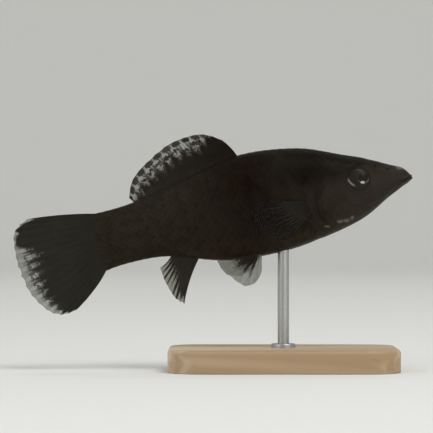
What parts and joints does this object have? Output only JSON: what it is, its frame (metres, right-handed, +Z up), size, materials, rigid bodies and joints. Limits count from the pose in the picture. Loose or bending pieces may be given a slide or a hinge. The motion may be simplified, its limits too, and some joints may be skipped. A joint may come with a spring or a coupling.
{
  "type": "black molly fish model on a display stand",
  "caption": "Still life-size model of a black molly, a small deep-bodied aquarium fish, level on a rod over a flat base.",
  "frame": {"origin": "centre of the underside of the stand's base, under the middle of the rod", "axes": "+X towards the head, +Y to the fish's left, +Z up. The snout points ahead and 11 degrees up."},
  "size_m": [0.0694, 0.024, 0.0411],
  "materials": {
    "skin": "moist velvet-black scaled skin",
    "fin": "thin black fin skin over darker rays, clear at the margins",
    "eye": "wet and glossy, black pupil in a thin silvery ring",
    "stand_base": "satin pale ash",
    "stand_rod": "satin steel"
  },
  "bodies": {
    "root": {"head": "skin", "lower_jaw": "skin", "gill_cover_left": "skin", "gill_cover_right": "skin", "trunk": "skin", "tail_stalk": "skin", "dorsal_fin": "fin", "caudal_fin": "fin", "anal_fin": "fin", "pelvic_fin_left": "fin", "pelvic_fin_right": "fin", "pectoral_fin_left": "fin", "pectoral_fin_right": "fin", "eye_left": "eye", "eye_right": "eye", "stand_base": "stand_base", "stand_rod": "stand_rod"}
  },
  "joints": []
}
